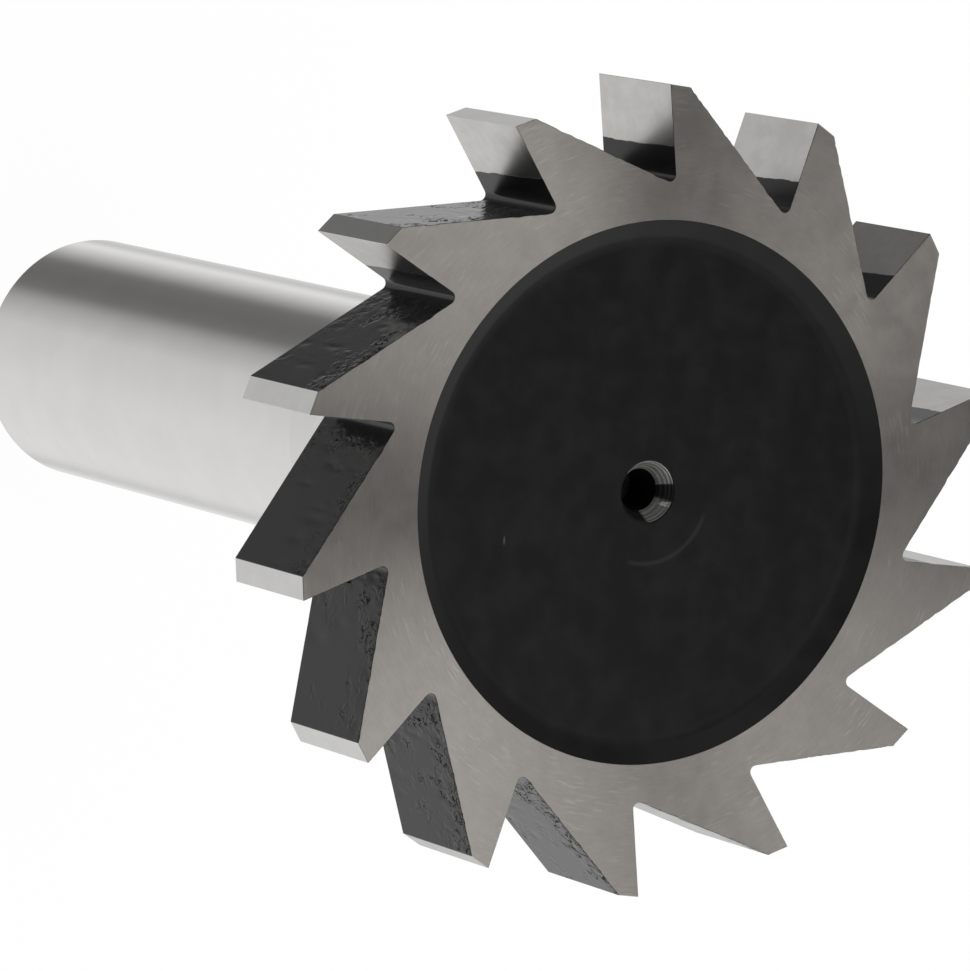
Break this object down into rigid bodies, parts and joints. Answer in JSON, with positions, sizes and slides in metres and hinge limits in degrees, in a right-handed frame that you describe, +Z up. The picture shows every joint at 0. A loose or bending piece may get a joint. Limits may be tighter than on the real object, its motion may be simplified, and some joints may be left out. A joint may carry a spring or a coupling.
{
  "type": "woodruff keyseat cutter",
  "caption": "Shank-type milling cutter with a narrow straight-toothed disc head, ground sides and black recesses, for woodruff keyseats.",
  "frame": {"origin": "centre of the flat end of the shank, on which the cutter stands", "axes": "+Z up the axis of the tool, from the shank to the toothed head; +X through the cutting edge of one tooth"},
  "size_m": [0.0384, 0.0378, 0.0571],
  "materials": {
    "high_speed_steel": "ground bright on the shank, the lands, the cutting faces and the sides of the head; black oxide in the recesses, on the tooth backs and in the gullets"
  },
  "bodies": {
    "root": {"keyseat_cutter": "high_speed_steel"}
  },
  "joints": []
}
